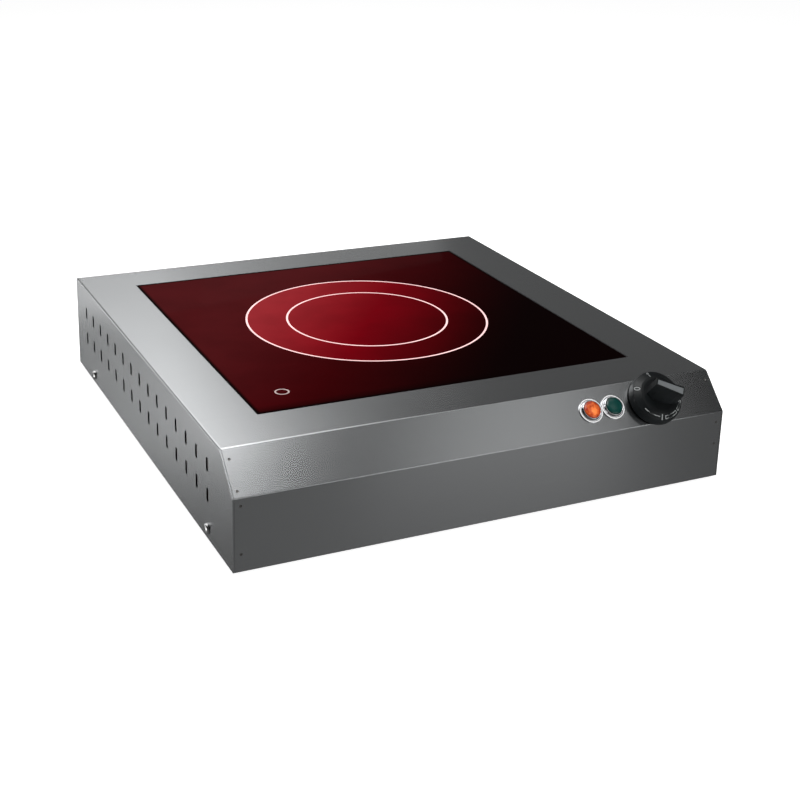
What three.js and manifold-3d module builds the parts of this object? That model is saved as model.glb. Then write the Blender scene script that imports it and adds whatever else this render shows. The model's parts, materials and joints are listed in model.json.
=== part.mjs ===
// A countertop glass-ceramic hot plate: a folded steel housing with a sloping control panel along
// its front edge, a square glass top over a two-circuit radiant heater, one control knob, two pilot
// lamps and a cable gland at the back. Millimetres, +Z up, +Y to the back. The origin is under the
// middle of the housing, on the plane that the feet stand on.

import * as THREE from "three";
import { mergeVertices } from "three/addons/utils/BufferGeometryUtils.js";
import Module from "manifold-3d";

const wasm = await Module();
wasm.setup();

// ---------------------------------------------------------------- driving dimensions

// Housing
const WIDTH = 414;
const DEPTH = 440;
const SKIN_HEIGHT = 83.5; // bottom edge to top face
const SHEET = 1.2;
const BEND = 2; // outer radius of a fold
const SLOPE_RUN = 27; // the control panel runs back and rises by this much, so it leans at 45 degrees
const SEAM = 0.4; // open joint between the control panel and each side
const FOOT_GAP = 4; // bottom edge above the table

// Glass top
const GLASS = 323;
const GLASS_THICK = 4;
const JOINT = 0.8; // silicone joint all round the glass
const GLASS_FROM_BACK = 43;
const LEDGE_WIDTH = 13; // how far the ledge reaches under the glass

// Heater, under two printed rings on the glass
const OUTER_RING = 105; // radius of the outer printed ring
const INNER_RING = 70;
const RINGS_BEHIND_CENTRE = 4; // the rings sit this far behind the glass's middle

// Control panel, measured along X from the middle
const KNOB_X = 146.5;
const AMBER_X = 88.9;
const GREEN_X = 109;
const KNOB_RADIUS = 21.5;
const SKIRT_TOP = 11.8; // top of the knob's skirt above the panel
const GRIP_TOP = 28.2; // top of the knob's grip above the panel
const GRIP_TURN = -30.5; // degrees, how the grip points as the knob stands
const LAMP_RADIUS = 9.9; // flange of a lamp's bezel

// Side walls
const SLOT_PITCH = 25;
const SLOTS_IN_ROW = 15;
const SLOT_LENGTH = 11;
const SLOT_WIDTH = 4.4;
const SLOT_FIRST_FROM_FRONT = 55;
const SLOT_ROW_HEIGHTS = [35.5, 59.5]; // above the housing's bottom edge
const BASE_SCREW_HEIGHT = 8.5; // above the housing's bottom edge
const BASE_SCREW_FROM_FRONT = [55, 380];

// Feet and cable entry
const FOOT_X = 168;
const FOOT_Y = 178;
const FOOT_RADIUS = 11;
const GLAND_X = 150;
const GLAND_Z = 39;

// Clearance between pieces that touch
const GAP = 0.3;

// ---------------------------------------------------------------- planes that follow from them

const SIDE = WIDTH / 2;
const FRONT = -DEPTH / 2;
const BACK = DEPTH / 2;
const TOP = FOOT_GAP + SKIN_HEIGHT;
const SLOPE_FOOT = TOP - SLOPE_RUN;
const INNER_BACK = BACK - SHEET;
const UNDER_TOP = TOP - SHEET;
const GLASS_Y = BACK - GLASS_FROM_BACK - GLASS / 2;
const GLASS_UNDER = TOP - GLASS_THICK;
const HEATER_Y = GLASS_Y + RINGS_BEHIND_CENTRE;
const BASE_TOP = FOOT_GAP + 1 + SHEET; // the base plate lies 1 mm up inside the housing
const BASE_UNDER = FOOT_GAP + 1;

// ---------------------------------------------------------------- materials

function paint(color, roughness, metalness) {
  return new THREE.MeshStandardMaterial({ color, roughness, metalness });
}

const brushedSteel = paint(0x8f9193, 0.34, 1);
const platedSteel = paint(0xa9abac, 0.4, 1);
const springSteel = paint(0x6f7276, 0.35, 1);
const chrome = paint(0xd8d8da, 0.08, 1);
const brass = paint(0xb9974f, 0.35, 1);
const glassCeramic = paint(0x2a0508, 0.06, 0);
const silicone = paint(0x0b0b0c, 0.6, 0);
const rubber = paint(0x151515, 0.8, 0);
const blackPlastic = paint(0x15181a, 0.38, 0);
const greyPlastic = paint(0x3a3d40, 0.5, 0);
const silverFoil = paint(0x8d9194, 0.35, 0.8);
const insulation = paint(0xcfc9ba, 0.95, 0);
const ceramic = paint(0xd9d2c4, 0.55, 0);
const hotRibbon = paint(0x8a4a33, 0.7, 0.6);
const quartz = paint(0xd6d8d6, 0.12, 0);
const amberLens = paint(0xd4551c, 0.12, 0);
const greenLens = paint(0x04382f, 0.12, 0);
const liveWire = paint(0x5b3423, 0.5, 0);
const neutralWire = paint(0x2f4f86, 0.5, 0);
const earthWire = paint(0x6f8f2c, 0.5, 0);
const heaterWire = paint(0xc9c2b4, 0.8, 0);

// ---------------------------------------------------------------- solids

const X_AXIS = new THREE.Vector3(1, 0, 0);
const Y_AXIS = new THREE.Vector3(0, 1, 0);
const Z_AXIS = new THREE.Vector3(0, 0, 1);

// A closed geometry as a solid that can be cut and joined.
function solid(geometry) {
  geometry.deleteAttribute("normal");
  geometry.deleteAttribute("uv");
  const merged = mergeVertices(geometry, 1e-4);
  const mesh = new wasm.Mesh({
    numProp: 3,
    vertProperties: merged.attributes.position.array,
    triVerts: new Uint32Array(merged.index.array),
  });
  return new wasm.Manifold(mesh);
}

// A solid as a geometry again, with flat faces.
function geometryOf(body) {
  const mesh = body.getMesh();
  const geometry = new THREE.BufferGeometry();
  geometry.setAttribute("position", new THREE.BufferAttribute(mesh.vertProperties, 3));
  geometry.setIndex(new THREE.BufferAttribute(mesh.triVerts, 1));
  const flat = geometry.toNonIndexed();
  flat.computeVertexNormals();
  return flat;
}

function block(x0, x1, y0, y1, z0, z1) {
  const geometry = new THREE.BoxGeometry(x1 - x0, y1 - y0, z1 - z0);
  geometry.translate((x0 + x1) / 2, (y0 + y1) / 2, (z0 + z1) / 2);
  return solid(geometry);
}

// A solid between two convex outlines with as many corners; each is a list of [x, y], anticlockwise.
function lofted(bottom, top, z0, z1) {
  const count = bottom.length;
  const corners = [...bottom.map(([x, y]) => [x, y, z0]), ...top.map(([x, y]) => [x, y, z1])];
  const faces = [];
  for (let i = 0; i < count; i += 1) {
    const next = (i + 1) % count;
    faces.push(i, next, count + next, i, count + next, count + i);
  }
  for (let i = 1; i < count - 1; i += 1) {
    faces.push(0, i + 1, i, count, count + i, count + i + 1);
  }
  const geometry = new THREE.BufferGeometry();
  geometry.setAttribute("position", new THREE.Float32BufferAttribute(corners.flat(), 3));
  geometry.setIndex(faces);
  return solid(geometry);
}

function rod(radius, z0, z1, sides = 16) {
  const geometry = new THREE.CylinderGeometry(radius, radius, z1 - z0, sides);
  geometry.rotateX(Math.PI / 2);
  geometry.translate(0, 0, (z0 + z1) / 2);
  return solid(geometry);
}

// A solid of revolution about Z. The profile is [radius, height] points; it runs up the outside, and
// it starts and ends on the axis or closes on itself.
function turned(profile, sides = 20) {
  const points = profile.map(([r, z]) => new THREE.Vector2(r, z));
  const geometry = new THREE.LatheGeometry(points, sides);
  geometry.rotateX(Math.PI / 2);
  return solid(geometry);
}

// A hexagonal nut about Z; outer is the distance from its axis to a corner.
function hexNut(bore, outer, z0, z1) {
  return rod(outer, z0, z1, 6).subtract(rod(bore, z0 - 1, z1 + 1, 18));
}

// A washer or tube about Z.
function ring(inner, outer, z0, z1, sides = 20) {
  return turned([[inner, z0], [outer, z0], [outer, z1], [inner, z1], [inner, z0]], sides);
}

function extruded(shape, length, basis, curveSegments) {
  const geometry = new THREE.ExtrudeGeometry(shape, { depth: length, bevelEnabled: false, curveSegments });
  geometry.applyMatrix4(new THREE.Matrix4().makeBasis(...basis));
  return solid(geometry);
}

// A shape drawn in (x, y), from z0 up to z1.
function upZ(shape, z0, z1, curveSegments = 3) {
  return extruded(shape, z1 - z0, [X_AXIS, Y_AXIS, Z_AXIS], curveSegments).translate([0, 0, z0]);
}

// A shape drawn in (y, z), from x0 to x1.
function alongX(shape, x0, x1, curveSegments = 3) {
  return extruded(shape, x1 - x0, [Y_AXIS, Z_AXIS, X_AXIS], curveSegments).translate([x0, 0, 0]);
}

// A shape drawn in (x, z), from y0 to y1.
function alongY(shape, y0, y1, curveSegments = 3) {
  const basis = [X_AXIS, Z_AXIS, Y_AXIS.clone().negate()];
  return extruded(shape, y1 - y0, basis, curveSegments).translate([0, y1, 0]);
}

// A closed outline through [a, b] corners, each with its own rounding radius.
function outline(corners) {
  const shape = new THREE.Shape();
  const count = corners.length;
  corners.forEach(([a, b, radius = 0], i) => {
    const here = new THREE.Vector2(a, b);
    const before = new THREE.Vector2(...corners[(i + count - 1) % count]).sub(here).normalize();
    const after = new THREE.Vector2(...corners[(i + 1) % count]).sub(here).normalize();
    const turn = Math.PI - before.angleTo(after);
    const reach = radius * Math.tan(turn / 2);
    const start = here.clone().addScaledVector(before, reach);
    const end = here.clone().addScaledVector(after, reach);
    if (i === 0) shape.moveTo(start.x, start.y);
    else shape.lineTo(start.x, start.y);
    if (radius) shape.quadraticCurveTo(here.x, here.y, end.x, end.y);
  });
  shape.closePath();
  return shape;
}

function polygon(corners) {
  return new THREE.Shape(corners.map(([a, b]) => new THREE.Vector2(a, b)));
}

function circle(radius, x = 0, y = 0) {
  const shape = new THREE.Shape();
  shape.absarc(x, y, radius, 0, 2 * Math.PI);
  return shape;
}

// A slot with round ends, long along its second coordinate.
function slotShape(length, width, a, b) {
  const shape = new THREE.Shape();
  const reach = (length - width) / 2;
  shape.absarc(a, b + reach, width / 2, 0, Math.PI);
  shape.absarc(a, b - reach, width / 2, Math.PI, 2 * Math.PI);
  shape.closePath();
  return shape;
}

function joined(bodies) {
  return bodies.reduce((sum, body) => sum.add(body));
}

function cut(body, tools) {
  return body.subtract(joined(tools));
}

// A wire of the given radius along a smooth curve through the points.
function wire(points, radius, steps, sides = 6) {
  const path = new THREE.CatmullRomCurve3(points.map((p) => new THREE.Vector3(...p)));
  const section = new THREE.Shape();
  for (let i = 0; i < sides; i += 1) {
    const angle = (2 * Math.PI * i) / sides;
    section[i ? "lineTo" : "moveTo"](radius * Math.cos(angle), radius * Math.sin(angle));
  }
  section.closePath();
  return solid(new THREE.ExtrudeGeometry(section, { extrudePath: path, steps, bevelEnabled: false }));
}

function addPart(parent, name, body, material) {
  const mesh = new THREE.Mesh(geometryOf(body), material.clone());
  mesh.name = name;
  parent.add(mesh);
  return mesh;
}

function toRadians(degrees) {
  return (degrees * Math.PI) / 180;
}

// ---------------------------------------------------------------- housing

// The housing's outline seen from the side, as (y, z), moved in by inset.
function sideOutline(inset, bottom) {
  const lean = inset * Math.tan(Math.PI / 8); // how far a 45 degree corner shifts
  const bend = BEND - inset;
  return outline([
    [FRONT + inset, bottom],
    [BACK - inset, bottom],
    [BACK - inset, TOP - inset, bend],
    [FRONT + SLOPE_RUN + lean, TOP - inset, bend],
    [FRONT + inset, SLOPE_FOOT - lean, bend],
  ]);
}

// The same seen from the front, as (x, z).
function frontOutline(inset, bottom) {
  const side = SIDE - inset;
  const bend = BEND - inset;
  return outline([
    [-side, bottom],
    [side, bottom],
    [side, TOP - inset, bend],
    [-side, TOP - inset, bend],
  ]);
}

function bentBox(inset, bottom) {
  const fromSide = alongX(sideOutline(inset, bottom), -SIDE + inset, SIDE - inset);
  const fromFront = alongY(frontOutline(inset, bottom), FRONT + inset, BACK - inset);
  return fromSide.intersect(fromFront);
}

// Vertical slots through both side walls.
function sideSlots() {
  const slots = [];
  for (const height of SLOT_ROW_HEIGHTS) {
    for (let i = 0; i < SLOTS_IN_ROW; i += 1) {
      const y = FRONT + SLOT_FIRST_FROM_FRONT + i * SLOT_PITCH;
      const shape = slotShape(SLOT_LENGTH, SLOT_WIDTH, y, FOOT_GAP + height);
      slots.push(alongX(shape, -SIDE - 1, SIDE + 1, 3));
    }
  }
  return slots;
}

// Turns a tool made about the panel's own axes into the housing's frame.
function onPanel(body, x = 0) {
  return body
    .rotate([45, 0, 0])
    .translate([x, FRONT + SLOPE_RUN / 2, SLOPE_FOOT + SLOPE_RUN / 2]);
}

const PANEL_HOLES = [
  { x: KNOB_X, radius: 5.2 },
  { x: AMBER_X, radius: 7 },
  { x: GREEN_X, radius: 7 },
];
const REGULATOR_SCREW_X = 13.5; // either side of the knob's shaft
const SCREW_HOLE = 2.3;

function buildHousing(root) {
  const opening = GLASS / 2 + JOINT;
  const seamLength = SLOPE_RUN / Math.SQRT2 - BEND;
  const tools = [
    bentBox(SHEET, FOOT_GAP - 1),
    block(-opening, opening, GLASS_Y - opening, GLASS_Y + opening, UNDER_TOP - 1, TOP + 1),
    alongY(circle(10.3, GLAND_X, GLAND_Z), INNER_BACK - 1, BACK + 1, 8),
    ...sideSlots(),
  ];
  for (const { x, radius } of PANEL_HOLES) {
    tools.push(onPanel(rod(radius, -SHEET - 1, 1, 20), x));
  }
  for (const side of [-1, 1]) {
    const screwX = KNOB_X + side * REGULATOR_SCREW_X;
    tools.push(onPanel(rod(SCREW_HOLE, -SHEET - 1, 1, 10), screwX));
    const seam = block(-SEAM / 2, SEAM / 2, -seamLength, seamLength, -SHEET - 1, 1);
    tools.push(onPanel(seam, side * (SIDE - SHEET - SEAM / 2)));
  }
  for (const fromFront of BASE_SCREW_FROM_FRONT) {
    const hole = circle(SCREW_HOLE, FRONT + fromFront, FOOT_GAP + BASE_SCREW_HEIGHT);
    tools.push(alongX(hole, -SIDE - 1, SIDE + 1, 5));
  }
  addPart(root, "housing", cut(bentBox(0, FOOT_GAP), tools), brushedSteel);
}

// ---------------------------------------------------------------- base plate, screws and feet

const BASE_HALF_WIDTH = SIDE - SHEET - GAP;
const BASE_FLANGE = 14;
const VENTS_IN_ROW = 9;
const VENT_PITCH = 14;

function buildBase(root) {
  const halfDepth = DEPTH / 2 - SHEET - GAP;
  const outer = BASE_HALF_WIDTH;
  const inner = outer - SHEET;
  const tray = block(-outer, outer, -halfDepth, halfDepth, BASE_UNDER, BASE_TOP + BASE_FLANGE);
  const tools = [block(-inner, inner, -halfDepth - 1, halfDepth + 1, BASE_TOP, TOP)];
  for (const fromFront of BASE_SCREW_FROM_FRONT) {
    const hole = circle(SCREW_HOLE, FRONT + fromFront, FOOT_GAP + BASE_SCREW_HEIGHT);
    tools.push(alongX(hole, -SIDE, SIDE, 5));
  }
  for (const x of [-FOOT_X, FOOT_X]) {
    for (const y of [-FOOT_Y, FOOT_Y]) {
      tools.push(rod(SCREW_HOLE, BASE_UNDER - 1, BASE_TOP + 1, 10).translate([x, y, 0]));
    }
  }
  for (const y of [HEATER_Y - 45, HEATER_Y + 45]) {
    for (let i = 0; i < VENTS_IN_ROW; i += 1) {
      const x = (i - (VENTS_IN_ROW - 1) / 2) * VENT_PITCH;
      tools.push(upZ(slotShape(50, 3, x, y), BASE_UNDER - 1, BASE_TOP + 1, 1));
    }
  }
  addPart(root, "base_plate", cut(tray, tools), platedSteel);
}

// A dome-headed screw pointing down -Z, with its head's underside at z = 0.
function screw(headRadius, headHeight, shankRadius, length) {
  return turned(
    [
      [0, -length],
      [shankRadius, -length],
      [shankRadius, 0],
      [headRadius, 0],
      [headRadius, headHeight * 0.35],
      [headRadius * 0.72, headHeight * 0.85],
      [0, headHeight],
    ],
    10,
  );
}

function buildBaseScrews(root) {
  const body = screw(4.4, 2.3, 1.9, 6);
  for (const side of [-1, 1]) {
    BASE_SCREW_FROM_FRONT.forEach((fromFront, i) => {
      const name = `base_screw_${i ? "rear" : "front"}_${side < 0 ? "left" : "right"}`;
      const mesh = addPart(root, name, body, platedSteel);
      mesh.rotation.y = (side * Math.PI) / 2;
      mesh.position.set(side * (SIDE + GAP / 2), FRONT + fromFront, FOOT_GAP + BASE_SCREW_HEIGHT);
    });
  }
}

function buildFeet(root) {
  const foot = turned(
    [
      [2.3, 2.4],
      [5, 2.4],
      [5, 0],
      [FOOT_RADIUS - 1.6, 0],
      [FOOT_RADIUS - 0.6, 0.8],
      [FOOT_RADIUS, BASE_UNDER - 0.1],
      [2.3, BASE_UNDER - 0.1],
      [2.3, 2.4],
    ],
    14,
  );
  const footScrew = screw(4.2, 1.7, 1.9, 8);
  for (const x of [-1, 1]) {
    for (const y of [-1, 1]) {
      const place = `${y < 0 ? "front" : "rear"}_${x < 0 ? "left" : "right"}`;
      addPart(root, `foot_${place}`, foot, rubber).position.set(x * FOOT_X, y * FOOT_Y, 0);
      const mesh = addPart(root, `foot_screw_${place}`, footScrew, platedSteel);
      mesh.rotation.x = Math.PI;
      mesh.position.set(x * FOOT_X, y * FOOT_Y, 2.4 - GAP / 2);
    }
  }
}

// ---------------------------------------------------------------- glass top

// A square frame about the glass's middle.
function squareFrame(inner, outer, z0, z1) {
  return block(-outer, outer, -outer, outer, z0, z1).subtract(
    block(-inner, inner, -inner, inner, z0 - 1, z1 + 1),
  );
}

function squareCorners(half) {
  return [[-half, -half], [half, -half], [half, half], [-half, half]];
}

const GASKET = 1; // silicone under the glass
const HALF_GLASS = GLASS / 2;
const LEDGE_TOP = GLASS_UNDER - GASKET - 0.1;

function buildGlassTop(root) {
  const group = new THREE.Group();
  group.position.y = GLASS_Y;
  root.add(group);

  const shelfInner = HALF_GLASS - LEDGE_WIDTH;
  const wall = HALF_GLASS + JOINT + GAP;
  const ledge = joined([
    squareFrame(shelfInner, wall + SHEET, LEDGE_TOP - SHEET, LEDGE_TOP),
    squareFrame(wall, wall + SHEET, LEDGE_TOP - SHEET, UNDER_TOP - 0.1),
    squareFrame(wall, wall + 10, UNDER_TOP - SHEET - 0.1, UNDER_TOP - 0.1),
  ]);
  addPart(group, "glass_ledge", ledge, platedSteel);

  const gasket = joined([
    squareFrame(shelfInner + 2, HALF_GLASS + JOINT - 0.1, LEDGE_TOP + 0.05, GLASS_UNDER - 0.05),
    squareFrame(HALF_GLASS + 0.1, HALF_GLASS + JOINT - 0.1, LEDGE_TOP + 0.05, TOP - 0.4),
  ]);
  addPart(group, "glass_gasket", gasket, silicone);

  const arris = 0.6; // ground edge of the glass
  const inset = HALF_GLASS - arris;
  const glass = joined([
    block(-HALF_GLASS, HALF_GLASS, -HALF_GLASS, HALF_GLASS, GLASS_UNDER, TOP - arris),
    lofted(squareCorners(HALF_GLASS), squareCorners(inset), TOP - arris, TOP),
  ]);
  addPart(group, "glass_plate", glass, glassCeramic);
}

// ---------------------------------------------------------------- radiant heater

const DISH_RADIUS = OUTER_RING + 3;
const RIM_WALL = 7;
const HEATER_FLOOR = -22; // floor of the heater below the glass
const DISH_UNDER = -35;
const LIMITER_Z = -9;
const LIMITER_RADIUS = 3;
const RIBBON_HEIGHT = 6;
const RIBBON_THICK = 0.8;

// A flat ribbon standing on edge along a spiral about Z.
function spiralRibbon(fromRadius, toRadius, turns, z) {
  const steps = Math.round(turns * 18);
  const points = [];
  for (let i = 0; i <= steps; i += 1) {
    const share = i / steps;
    const angle = 2 * Math.PI * turns * share;
    const radius = THREE.MathUtils.lerp(fromRadius, toRadius, share);
    points.push(new THREE.Vector3(radius * Math.cos(angle), radius * Math.sin(angle), z));
  }
  const path = new THREE.CatmullRomCurve3(points);
  const high = RIBBON_HEIGHT / 2;
  const thick = RIBBON_THICK / 2;
  const section = outline([[-high, -thick], [high, -thick], [high, thick], [-high, thick]]);
  return solid(new THREE.ExtrudeGeometry(section, { extrudePath: path, steps, bevelEnabled: false }));
}

function buildHeater(root) {
  const group = new THREE.Group();
  group.position.set(0, HEATER_Y, GLASS_UNDER);
  root.add(group);

  const rimInner = DISH_RADIUS - RIM_WALL;
  const limiterSlot = block(INNER_RING - 10, DISH_RADIUS + 2, -5, 5, LIMITER_Z - 5, 1);
  const dish = turned(
    [
      [0, DISH_UNDER],
      [DISH_RADIUS + 0.8, DISH_UNDER],
      [DISH_RADIUS + 0.8, -4],
      [DISH_RADIUS, -4],
      [DISH_RADIUS, DISH_UNDER + 0.8],
      [0, DISH_UNDER + 0.8],
    ],
    32,
  );
  addPart(group, "heater_dish", cut(dish, [limiterSlot]), platedSteel);

  const fill = rod(DISH_RADIUS - GAP, DISH_UNDER + 1, HEATER_FLOOR, 32);
  addPart(group, "heater_insulation", fill, insulation);

  const rim = ring(rimInner, DISH_RADIUS - GAP, HEATER_FLOOR + 0.1, -GAP, 32);
  addPart(group, "heater_rim", cut(rim, [limiterSlot]), insulation);
  const divider = ring(INNER_RING - 2, INNER_RING + 2, HEATER_FLOOR + 0.1, -3, 28);
  addPart(group, "heater_divider", cut(divider, [limiterSlot]), insulation);

  const ribbonZ = HEATER_FLOOR + 0.2 + RIBBON_HEIGHT / 2;
  addPart(group, "inner_element", spiralRibbon(12, INNER_RING - 8, 3.5, ribbonZ), hotRibbon);
  addPart(group, "outer_element", spiralRibbon(INNER_RING + 7, rimInner - 6, 1.9, ribbonZ), hotRibbon);

  const headFrom = DISH_RADIUS + 4;
  const tube = rod(LIMITER_RADIUS, -60, headFrom - GAP, 10).rotate([0, 90, 0]);
  addPart(group, "limiter_rod", tube.translate([0, 0, LIMITER_Z]), quartz);
  const head = joined([
    block(headFrom, headFrom + 26, -9, 9, LIMITER_Z - 9, LIMITER_Z + 5),
    block(headFrom + 6, headFrom + 12, -4, 4, LIMITER_Z - 16, LIMITER_Z - 8.9),
    block(headFrom + 16, headFrom + 22, -4, 4, LIMITER_Z - 16, LIMITER_Z - 8.9),
  ]);
  addPart(group, "limiter_head", head, ceramic);

  const blockFront = -DISH_RADIUS - 18;
  const tabs = [-12, -4, 4, 12].map((x) =>
    block(x - 0.4, x + 0.4, blockFront - 8, blockFront + 0.1, -26, -20),
  );
  const terminals = joined([block(-20, 20, blockFront, -DISH_RADIUS - 1.5, -30, -16), ...tabs]);
  addPart(group, "heater_terminals", terminals, ceramic);
}

// Two rails hang from the ledge and press the heater up against the glass through leaf springs.
const RAIL_X = 60;
const RAIL_TOP = 41;
const RAIL_HALF = 146; // half length, so that its ends stand under the ledge's inner edge

function buildHeaterSupports(root) {
  const half = HALF_GLASS - LEDGE_WIDTH + 8;
  const hang = LEDGE_TOP - SHEET - 0.1;
  const rail = joined([
    block(-9, 9, -RAIL_HALF, RAIL_HALF, RAIL_TOP - 2, RAIL_TOP),
    block(-9, 9, -RAIL_HALF, -RAIL_HALF + 2, RAIL_TOP - 2, hang),
    block(-9, 9, RAIL_HALF - 2, RAIL_HALF, RAIL_TOP - 2, hang),
    block(-9, 9, -half, -RAIL_HALF + 2, hang - 2, hang),
    block(-9, 9, RAIL_HALF - 2, half, hang - 2, hang),
  ]);
  const low = RAIL_TOP + 0.1;
  const high = GLASS_UNDER + DISH_UNDER - 0.2;
  const bow = alongX(
    outline([
      [-45, low],
      [-38, low],
      [0, high - 0.8],
      [38, low],
      [45, low],
      [45, low + 0.8],
      [38, low + 0.8],
      [0, high],
      [-38, low + 0.8],
      [-45, low + 0.8],
    ]),
    -7,
    7,
  );
  for (const side of [-1, 1]) {
    const name = side < 0 ? "left" : "right";
    addPart(root, `heater_rail_${name}`, rail, platedSteel).position.set(side * RAIL_X, GLASS_Y, 0);
    addPart(root, `leaf_spring_${name}`, bow, springSteel).position.set(side * RAIL_X, HEATER_Y, 0);
  }
}

// ---------------------------------------------------------------- control knob and its regulator

const BORE = 4.2; // bore of the knob's hub, which holds a spring clip round the shaft
const SHAFT = 3;
const SKIRT_UNDER = 1.2; // bottom of the skirt above the panel
const DIAL_RADIUS = 15.8; // the dial slopes down from here to the skirt's edge
const SKIRT_EDGE = 8; // height of the skirt's edge above the panel

// Half of the grip's outline, from its tail to its point: where it stands on the skirt, and at its top.
const GRIP_FOOT = [[-10.6, 3.2], [-6.5, 6.1], [3, 6.7], [10, 5.2], [15.6, 2]];
const GRIP_HEAD = [[-10.8, 3.4], [-6.5, 3.6], [3, 3.8], [9, 4], [13.3, 4.1]];
const STRIP = [[-9.6, 2], [12.5, 2.7]]; // half of the strip's outline

// The whole outline of a half that is given from its tail to its point, moved out by grow.
function bothHalves(half, grow = 0) {
  const [tail, point] = [half[0][0], half[half.length - 1][0]];
  const near = half.map(([x, y]) => [x + (x === tail ? -grow : 0) + (x === point ? grow : 0), -y - grow]);
  return [...near, ...near.map(([x, y]) => [x, -y]).reverse()];
}

function buildKnob(panel) {
  const knob = new THREE.Group();
  knob.position.x = KNOB_X;
  knob.rotation.z = toRadians(GRIP_TURN);
  panel.add(knob);

  const skirt = turned(
    [
      [0, 11],
      [BORE, 11],
      [BORE, 2.5],
      [6.6, 2.5],
      [6.6, 9],
      [DIAL_RADIUS - 0.8, 9],
      [KNOB_RADIUS - 2.2, SKIRT_EDGE - 1.8],
      [KNOB_RADIUS - 2, SKIRT_UNDER],
      [KNOB_RADIUS, SKIRT_UNDER],
      [KNOB_RADIUS - 0.4, SKIRT_EDGE - 0.4],
      [KNOB_RADIUS - 0.8, SKIRT_EDGE + 0.1],
      [DIAL_RADIUS, SKIRT_TOP - 0.6],
      [DIAL_RADIUS - 2, SKIRT_TOP],
      [0, SKIRT_TOP],
    ],
    30,
  );
  const grip = lofted(bothHalves(GRIP_FOOT), bothHalves(GRIP_HEAD), SKIRT_TOP - 0.8, GRIP_TOP);
  const recess = upZ(polygon(bothHalves(STRIP, GAP)), GRIP_TOP - 1, GRIP_TOP + 1);
  addPart(knob, "knob", cut(joined([skirt, grip]), [recess]), blackPlastic);

  const strip = upZ(polygon(bothHalves(STRIP)), GRIP_TOP - 0.9, GRIP_TOP + 0.2);
  addPart(knob, "knob_insert", strip, silverFoil);

  const sleeve = ring(SHAFT + GAP, BORE - GAP, 3, 10.5, 16);
  addPart(knob, "knob_clip", cut(sleeve, [block(0, 6, -1, 1, 0, 12)]), springSteel);

  const flat = block(SHAFT - 1, SHAFT + 1, -SHAFT - 1, SHAFT + 1, 1.5, 12);
  addPart(knob, "regulator_shaft", cut(rod(SHAFT, -17, 10.6, 16), [flat]), brass);

  const lobe = block(0, 10.4, -3.5, 3.5, -14, -8);
  const cam = cut(joined([rod(8, -14, -8, 20), lobe]), [rod(SHAFT + GAP, -15, -7, 16)]);
  addPart(knob, "regulator_cam", cam, greyPlastic);
}

const REGULATOR_HALF_X = 22;
const REGULATOR_HALF_Y = 15;
const PLATE_FACE = -SHEET - 0.2; // front of the regulator's mounting plate, behind the panel
const CASE_FACE = PLATE_FACE - SHEET - 0.1;
const CASE_BACK = -26;

function buildRegulator(panel) {
  const group = new THREE.Group();
  group.position.x = KNOB_X;
  panel.add(group);

  const screwHoles = [-1, 1].map((side) =>
    rod(SCREW_HOLE, -12, 1, 10).translate([side * REGULATOR_SCREW_X, 0, 0]),
  );
  const plateHalf = [REGULATOR_HALF_X, REGULATOR_HALF_Y];
  const plate = joined([
    block(-plateHalf[0], plateHalf[0], -plateHalf[1], plateHalf[1], PLATE_FACE - SHEET, PLATE_FACE),
    rod(4.8, PLATE_FACE - 0.5, 0.8, 18),
  ]);
  const shaftHole = rod(SHAFT + GAP, -8, 2, 18);
  addPart(group, "regulator_plate", cut(plate, [shaftHole, ...screwHoles]), platedSteel);

  const half = [REGULATOR_HALF_X - 1, REGULATOR_HALF_Y - 0.5];
  const shell = block(-half[0], half[0], -half[1], half[1], CASE_BACK, CASE_FACE);
  const camRoom = rod(11.6, -18, 0, 24);
  addPart(group, "regulator_case", cut(shell, [camRoom, ...screwHoles]), blackPlastic);

  const carrier = block(-17, 17, -9, 9, CASE_BACK - 1.6, CASE_BACK - 0.1);
  const tabs = [[-12, 4], [0, 4], [12, 4], [-12, -4], [12, -4]].map(([x, y]) =>
    block(x - 3.1, x + 3.1, y - 0.4, y + 0.4, CASE_BACK - 9, CASE_BACK - 1.5),
  );
  addPart(group, "regulator_terminals", joined([carrier, ...tabs]), brass);

  const body = screw(3.6, 1.9, 1.9, 9);
  for (const side of [-1, 1]) {
    const mesh = addPart(group, `regulator_screw_${side < 0 ? "left" : "right"}`, body, platedSteel);
    mesh.position.set(side * REGULATOR_SCREW_X, 0, GAP / 2);
  }
}

// ---------------------------------------------------------------- pilot lamps

function buildLamp(panel, name, x, lensMaterial) {
  const lamp = new THREE.Group();
  lamp.position.x = x;
  panel.add(lamp);

  const bezel = turned(
    [
      [5.4, -12],
      [6.7, -12],
      [6.7, 0.1],
      [LAMP_RADIUS, 0.1],
      [LAMP_RADIUS, 0.9],
      [LAMP_RADIUS - 1, 1.4],
      [8, 3.9],
      [7.1, 3.9],
      [7.1, 1.4],
      [5.4, 1.4],
      [5.4, -12],
    ],
    20,
  );
  addPart(lamp, `${name}_bezel`, bezel, chrome);

  const lens = turned([[0, 1.6], [6.8, 1.6], [6.8, 3.4], [5.6, 4.4], [3, 4.9], [0, 5]], 20);
  addPart(lamp, `${name}_lens`, lens, lensMaterial);

  const tabs = [-2.4, 2.4].map((y) => block(-2.4, 2.4, y - 0.4, y + 0.4, -31, -23.9));
  const holder = joined([rod(5.1, -24, 1.2, 14), ...tabs]);
  addPart(lamp, `${name}_lamp_holder`, holder, greyPlastic);

  addPart(lamp, `${name}_nut`, hexNut(7, 9.6, -5.6, -SHEET - 0.2), platedSteel);
}

// ---------------------------------------------------------------- cable entry and wiring

const GLAND_BORE = 7.6;
const CABLE_BORE = 4.8; // free bore of the sealing sleeve

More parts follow.
